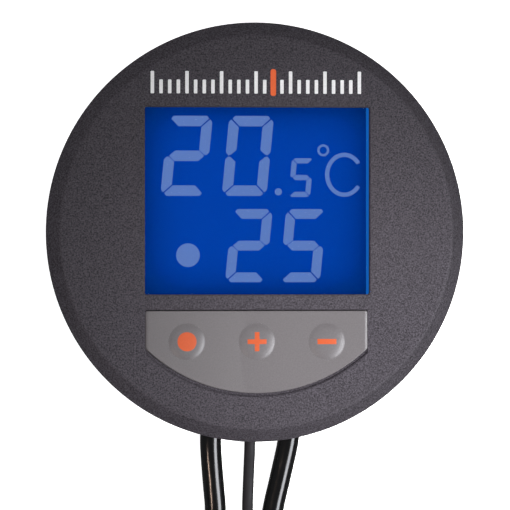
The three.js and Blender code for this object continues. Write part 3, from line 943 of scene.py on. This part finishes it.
PANEL_Z0 = mm_box("keypad_panel")[0].z
PANEL_Z = mm_box("keypad_panel")[1].z
DOME_HEIGHT = 0.65
DOME_REACH = 4.3  # where the crown alone would meet the panel
DOME_EDGE = 4.0  # where it turns into the flare that runs out at the rim
PRINT_LIFT = 0.03


def dome_height(r):
    """Height above the panel at radius r: flattest on top, and run out flat at its rim."""

    def crown(q):
        return DOME_HEIGHT * (1 - (q / DOME_REACH) ** 3)

    if r <= DOME_EDGE:
        return crown(r)
    span = DOME_RIM - DOME_EDGE
    u = (r - DOME_EDGE) / span
    slope = -3 * DOME_HEIGHT * DOME_EDGE**2 / DOME_REACH**3 * span
    return crown(DOME_EDGE) * (1 - 3 * u * u + 2 * u**3) + slope * (u - 2 * u * u + u**3)


def disc_cells(radius):
    """Quads that cover a disc, as corner coordinates."""
    rings, sectors = 8, 48
    cells = []
    for i in range(rings):
        a, b = radius * i / rings, radius * (i + 1) / rings
        for j in range(sectors):
            c, d = FULL * j / sectors, FULL * (j + 1) / sectors
            corners = ((a, c), (b, c), (b, d), (a, d))
            cells.append([(r * math.cos(t), r * math.sin(t)) for r, t in corners])
    return cells


def bar_cells(x0, x1, y0, y1):
    """Quads about 0.2 mm across that cover a rectangle."""
    columns, rows = round((x1 - x0) / 0.2), round((y1 - y0) / 0.2)
    xs = [x0 + (x1 - x0) * i / columns for i in range(columns + 1)]
    ys = [y0 + (y1 - y0) * i / rows for i in range(rows + 1)]
    return [
        [(a, c), (b, c), (b, d), (a, d)]
        for a, b in zip(xs, xs[1:])
        for c, d in zip(ys, ys[1:])
    ]


ARM, THICK = 2.27, 0.56
ICONS = {
    "power": disc_cells(ARM),
    "plus": bar_cells(-ARM, ARM, -THICK, THICK)
    + bar_cells(-THICK, THICK, THICK, ARM)
    + bar_cells(-THICK, THICK, -ARM, -THICK),
    "minus": bar_cells(-ARM, ARM, -THICK - 0.05, THICK + 0.05),
}


def on_dome(made):
    """Bakes the placement of the skin, or the print on it, into its mesh."""
    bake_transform(made)


def icon_print(name, x):
    """The symbol of a button, draped over its dome."""
    bm = bmesh.new()
    for cell in ICONS[name]:
        corners = []
        for cx, cy in cell:
            z = PANEL_Z + dome_height(math.hypot(cx, cy)) + PRINT_LIFT
            corners.append(bm.verts.new((x + cx, BUTTON_Y + cy, z)))
        if (Vector(cell[0]) - Vector(cell[3])).length < 1e-6:
            corners.pop()
        bm.faces.new(corners)
    bmesh.ops.remove_doubles(bm, verts=bm.verts, dist=1e-4)
    bmesh.ops.solidify(bm, geom=bm.faces[:], thickness=0.04)
    return bm


def keypad():
    """A sheet with softened edges, three dome skins in its holes, and their symbols."""
    levels = (
        (0, 0, 0, PANEL_Z0), (0, 0, 0, PANEL_Z - 0.32), (-0.12, -0.02, -0.02, PANEL_Z - 0.22),
        (-0.35, -0.06, -0.06, PANEL_Z - 0.1), (-0.6, -0.12, -0.12, PANEL_Z - 0.03),
        (-0.85, -0.2, -0.2, PANEL_Z),
    )
    sheet = loft([level(keypad_outline(*moved), z) for *moved, z in levels])
    holes = [at(rod(DOME_RIM, 20, 30, 96), x, BUTTON_Y) for name, x in BUTTONS]
    piece("keypad_sheet", combine(sheet, holes), keypad_film, "keypad_panel")
    rings, rim, foot = 28, DOME_RIM - 0.005, PANEL_Z0 + 0.1
    radii = [DOME_RIM * i / rings for i in range(rings)] + [rim]
    skin = [(r, PANEL_Z + dome_height(r)) for r in radii] + [(rim, foot), (0, foot)]
    for name, x in BUTTONS:
        dome = at(lathe(skin, 96), x, BUTTON_Y)
        button = "button_" + name
        made = piece("dome_" + name, dome, keypad_film, button, body=None)
        on_dome(made)
        made = piece("icon_" + name, icon_print(name, x), orange_print, body=None)
        on_dome(made)


keypad()

# -------- suction cups and clips

NECK_SHARE = 0.3  # a cup's neck as a share of its rim


def suction_cup(name, node, body, x, y, radius, height):
    """A cup with its rim on the floor, and a neck that goes up into a clip's socket."""
    neck = radius * NECK_SHARE
    profile = [
        (0, height * 0.3), (radius * 0.5, height * 0.24, 3), (radius * 0.86, 0.02, 0.4),
        (radius, 0, 0.15), (radius, 0.5, 0.15), (radius * 0.8, height * 0.26, 2),
        (radius * 0.45, height * 0.52, 1.5), (neck, height * 0.58, 0.3),
        (neck, height * 0.76, 0.2), (neck * 0.86, height * 0.8, 0.2),
        (neck * 0.9, height, 0.5), (0, height),
    ]
    bm = at(lathe(fillet(profile, steps=4), 72), x, y)
    piece(name, bm, cup_vinyl, node, body)


def ribbon(line, widths):
    """The outline of a band of changing width along a line, its ends rounded."""
    left, right = [], []
    for i, (point, width) in enumerate(zip(line, widths)):
        before, after = line[max(i - 1, 0)], line[min(i + 1, len(line) - 1)]
        ahead = (Vector(after) - Vector(before)).normalized()
        aside = Vector((-ahead.y, ahead.x)) * width / 2
        left.append(tuple(Vector(point) + aside))
        right.append(tuple(Vector(point) - aside))
    for side in (left, right):
        side[0] = (*side[0], widths[0] * 0.4)
        side[-1] = (*side[-1], widths[-1] * 0.4)
    return fillet([*right, *reversed(left)], closed=True)


def clip(name, node, body, place, cup_radius, cup_height, grip, ring, width, gape):
    """An open ring with out-turned lips, on a foot with a socket for the cup's neck.
    gape is half the angle of its mouth, in degrees."""
    x, y, z = place
    start, n = math.radians(90 + gape), 56
    angles = [start + (FULL - 2 * math.radians(gape)) * i / n for i in range(n + 1)]
    middle = grip + ring / 2
    line = [(middle * math.cos(a), middle * math.sin(a)) for a in angles]
    first = []
    for ahead, out in ((0.35, 0.12), (0.65, 0.45), (0.8, 0.9)):
        a = start - ahead * ring / middle
        reach = middle + out * ring
        first.append((reach * math.cos(a), reach * math.sin(a)))
    last = [(-px, py) for px, py in first]
    widths = [ring * 0.7, ring * 0.8, ring * 0.92]
    outline = ribbon(
        [*reversed(first), *line, *last], [*widths, *[ring] * len(line), *reversed(widths)]
    )
    band = prism(outline, -width / 2, width / 2, top=ring * 0.12, bottom=ring * 0.12, steps=3)
    stand = Matrix.Translation((x, y, z)) @ Matrix.Rotation(math.pi / 2, 4, "X")
    move(band, stand)
    neck = cup_radius * NECK_SHARE + 0.3
    wall = neck + ring * 0.6
    low, high = cup_height * 0.64, z - grip - ring * 0.4
    foot = fillet(
        [(0, low), (wall, low, 0.3), (wall, high - 0.5), (wall + 0.4, high), (0, high)],
        steps=3,
    )
    band = combine(band, [at(lathe(foot, 48), x, y)], "UNION")
    socket = at(rod(neck, 0, cup_height + 0.3, 48), x, y)
    piece(name, combine(band, [socket]), nylon, node, body)


# -------- temperature probe

PROBE_X, PROBE_Z = 8.4, 9.6
PROBE_CLIP_Y = -146
PROBE_CUP = (10, 4.6)  # radius and height


def probe():
    tip, body_end, boot_end = -156, -133, -128
    capsule = fillet(
        [(0, 0), (1.9, 0.1, 0.8), (3, 1.6, 1.2), (3, 22, 0.3), (2.7, 23), (0, 23)], steps=5
    )
    piece(
        "probe_tube", along_y(lathe(capsule, 64), PROBE_X, PROBE_Z, tip), steel,
        "probe_capsule",
    )
    length = boot_end - body_end + 0.6
    boot = fillet(
        [(0, 0), (3.15, 0, 0.3), (3.15, 1.6, 0.6), (1.75, length, 0.5), (0, length)], steps=4
    )
    piece(
        "probe_sleeve", along_y(lathe(boot, 48), PROBE_X, PROBE_Z, body_end - 0.6), rubber,
        "probe_boot",
    )
    place = (PROBE_X, PROBE_CLIP_Y, PROBE_Z)
    size = dict(grip=3.3, ring=1.3, width=8, gape=52)
    clip("probe_holder", "probe_clip", "probe_clip", place, *PROBE_CUP, **size)
    cup = "probe_suction_cup"
    suction_cup("probe_cup", cup, "probe_clip", PROBE_X, PROBE_CLIP_Y, *PROBE_CUP)


probe()

# -------- heater

HEATER_X, HEATER_Z = 99, 25.3
CAP_END, GUARD_END, TIP = -100, -72, 74
GUARD_R, TUBE_R = 15.5, 11.0
FLUTED_R = 14  # the cap is fluted outside this radius
FLUTES, FLUTE_DEPTH = 18, 0.7
HEATER_CUP = (15, 6.4)  # radius and height


def heater_cap():
    """The moulded head: a shoulder, finger flutes round it, and a socket for the tube."""
    profile = [
        (0, CAP_END), (9, CAP_END, 1), (12.4, CAP_END + 2.2, 2.5), (GUARD_R, CAP_END + 8, 2.5),
        (GUARD_R, CAP_END + 10), (GUARD_R, CAP_END + 22), (GUARD_R, GUARD_END - 0.3, 0.5),
        (TUBE_R + 1.4, GUARD_END - 0.3), (TUBE_R + 1.4, CAP_END + 16),
        (TUBE_R - 1.7, CAP_END + 16), (TUBE_R - 1.7, CAP_END + 24), (0, CAP_END + 24),
    ]

    def flute(angle, radius, height):
        middle, half = CAP_END + 16, 7.0
        if radius < FLUTED_R or abs(height - middle) > half:
            return radius
        fade = 1 - ((height - middle) / half) ** 4
        return radius - FLUTE_DEPTH * fade * (0.5 - 0.5 * math.cos(angle * FLUTES)) ** 2

    rows = divided(fillet(profile, steps=6), 1.2, beyond=FLUTED_R)
    bm = along_y(lathe(rows, 216, flute), HEATER_X, HEATER_Z)
    piece("heater_head", bm, nylon, "heater_cap")


def heater_guard():
    """A cage with two rows of slots and a ring of vents in its end."""
    wall = 1.8
    profile = [
        (GUARD_R - wall, GUARD_END), (GUARD_R, GUARD_END, 0.4), (GUARD_R, TIP - 4, 4),
        (GUARD_R - 6, TIP, 3), (0, TIP), (0, TIP - wall), (GUARD_R - 6.4, TIP - wall, 2),
        (GUARD_R - wall, TIP - 5.6, 2), (GUARD_R - wall, GUARD_END),
    ]
    rows = divided(fillet(profile, steps=5), 3.2)[:-1]
    shell = along_y(lathe(rows, 128), HEATER_X, HEATER_Z)
    axis = Matrix.Translation((HEATER_X, 0, HEATER_Z))
    cutters = []
    for low, high in ((-44, -8), (8, 44)):
        for degrees in (22.5, 67.5, 112.5, 157.5):
            slot = prism(rectangle(-3.4, 3.4, low, high, 3.2, 6), -30, 30)
            turn = Matrix.Rotation(math.radians(degrees), 4, "Y")
            cutters.append(move(slot, axis @ turn))
    lying = axis @ Matrix.Rotation(-math.pi / 2, 4, "X")
    vents = 6
    for i in range(vents):
        vent = prism(rectangle(-1.3, 1.3, 3.6, 8.4, 1.2), TIP - 3, TIP + 1)
        turn = Matrix.Rotation(FULL * i / vents, 4, "Z")
        cutters.append(move(vent, lying @ turn))
    piece("guard_shell", combine(shell, cutters), nylon, "heater_guard")


def heater_tube():
    """The glass, with its closed end in the guard's tip, and the wound ceramic core inside."""
    start, end, wall = CAP_END + 17, TIP - 6, 1.3
    outer = [(TUBE_R, start), (TUBE_R, end - 8, 5), (TUBE_R * 0.55, end, 5), (0, end)]
    inner = [
        (0, end - wall), (TUBE_R * 0.5, end - wall, 4), (TUBE_R - wall, end - 9, 5),
        (TUBE_R - wall, start),
    ]
    profile = fillet([*outer, *inner], steps=8)
    bm = along_y(lathe(profile, 96), HEATER_X, HEATER_Z)
    piece("glass_sleeve", bm, tube_glass, "heater_glass_tube")
    low, high = CAP_END + 28, end - 18
    core = fillet([(0, low), (5.6, low, 0.5), (5.6, high, 0.5), (0, high)], steps=3)
    bm = along_y(lathe(core, 48), HEATER_X, HEATER_Z)
    piece("ceramic_core", bm, ceramic, "heating_element")
    turns, per_turn, reach, bare = 34, 20, 6.0, 6
    count = turns * per_turn
    helix = []
    for i in range(count + 1):
        a = FULL * i / per_turn
        y = low + bare + (high - low - 2 * bare) * i / count
        helix.append((HEATER_X + reach * math.cos(a), y, HEATER_Z + reach * math.sin(a)))
    curve("element_winding", helix, 0.9, wire, sides=2)


strain_relief(
    "heater_cap_sleeve", "heater_cap_strain_relief", HEATER_X, HEATER_Z, -124, CAP_END,
    r0=3.1, r1=5.2, groove=0.7,
)
heater_cap()
heater_guard()
heater_tube()
for i, y in enumerate((-56, 56), start=1):
    body = f"heater_clip_{i}"
    place = (HEATER_X, y, HEATER_Z)
    size = dict(grip=GUARD_R + 0.3, ring=2.5, width=12, gape=50)
    clip(f"tube_clip_{i}", body, body, place, *HEATER_CUP, **size)
    suction_cup(f"tube_cup_{i}", f"heater_suction_cup_{i}", body, HEATER_X, y, *HEATER_CUP)

# -------- nodes kept from the CAD

KEPT = {
    foam: ["mounting_pad"],
    rubber: ["housing_seal", "heater_cap_seal"],
    nylon: ["display_frame", "relay", "filter_capacitor", "controller_chip", "switch_power",
            "switch_plus", "switch_minus"],
    steel: [f"housing_screw_{i}" for i in (1, 2, 3, 4)],
    board: ["circuit_board"],
    part_yellow: ["transformer", "x_capacitor"],
    terminal: ["terminal_block"],
    guide_white: ["backlight_guide"],
    lit_strip: ["backlight_led_bar"],
}
for look, names in KEPT.items():
    for name in names:
        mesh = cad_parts[name].data
        mesh.materials.clear()
        mesh.materials.append(look)

# -------- floor and light


def make_floor():
    reach = 14.0
    mesh = bpy.data.meshes.new("floor")
    corners = [(-reach, -reach, 0), (reach, -reach, 0), (reach, reach, 0), (-reach, reach, 0)]
    mesh.from_pydata(corners, [], [(0, 1, 2, 3)])
    floor = bpy.data.objects.new("floor", mesh)
    scene.collection.objects.link(floor)
    look = material("floor_white", (0.9, 0.9, 0.9), 0.8, Specular_IOR_Level=0.1)
    inputs = look.node_tree.nodes["Principled BSDF"].inputs
    inputs["Emission Color"].default_value = (1, 1, 1, 1)
    inputs["Emission Strength"].default_value = 0.95
    mesh.materials.append(look)
    floor.visible_glossy = False


def add_light(name, kind, place, aim, power, colour=(1, 1, 1)):
    data = bpy.data.lights.new(name, kind)
    data.energy = power
    data.color = colour
    light = bpy.data.objects.new(name, data)
    light.location = place
    light.rotation_euler = (Vector(aim) - Vector(place)).to_track_quat("-Z", "Y").to_euler()
    light.visible_camera = False
    scene.collection.objects.link(light)
    return light


def softbox(name, place, aim, size, power, colour=(1, 1, 1)):
    light = add_light(name, "AREA", place, aim, power, colour)
    light.data.shape = "RECTANGLE"
    light.data.size, light.data.size_y = size
    return light


def make_light():
    """The key and the fill set the tone. The side and the edge give only highlights."""
    world = bpy.data.worlds.new("studio")
    world.use_nodes = True
    background = world.node_tree.nodes["Background"]
    background.inputs["Color"].default_value = (0.97, 0.98, 1.0, 1)
    background.inputs["Strength"].default_value = 0.14
    scene.world = world
    key = add_light("key", "SPOT", (0.045, -0.06, 0.32), (0.029, -0.03, 0.026), 6.9)
    key.data.spot_size = math.radians(27.8)
    key.data.spot_blend = 0.55
    key.data.shadow_soft_size = 0.04
    fill = softbox("fill", (-0.02, 0.03, 0.47), (0, 0, 0.02), (0.4, 0.4), 1.3)
    for light in (key, fill):
        light.visible_glossy = False
    side = softbox(
        "side", (0.31, -0.14, 0.27), (0, -0.03, 0.02), (0.42, 0.2), 3.4, (0.94, 0.96, 1)
    )
    edge = softbox(
        "edge", (-0.30, -0.33, 0.37), (0, -0.06, 0), (0.2, 0.03), 0.8, (1, 0.75, 0.6)
    )
    for light in (side, edge):
        light.visible_diffuse = False


make_floor()
make_light()
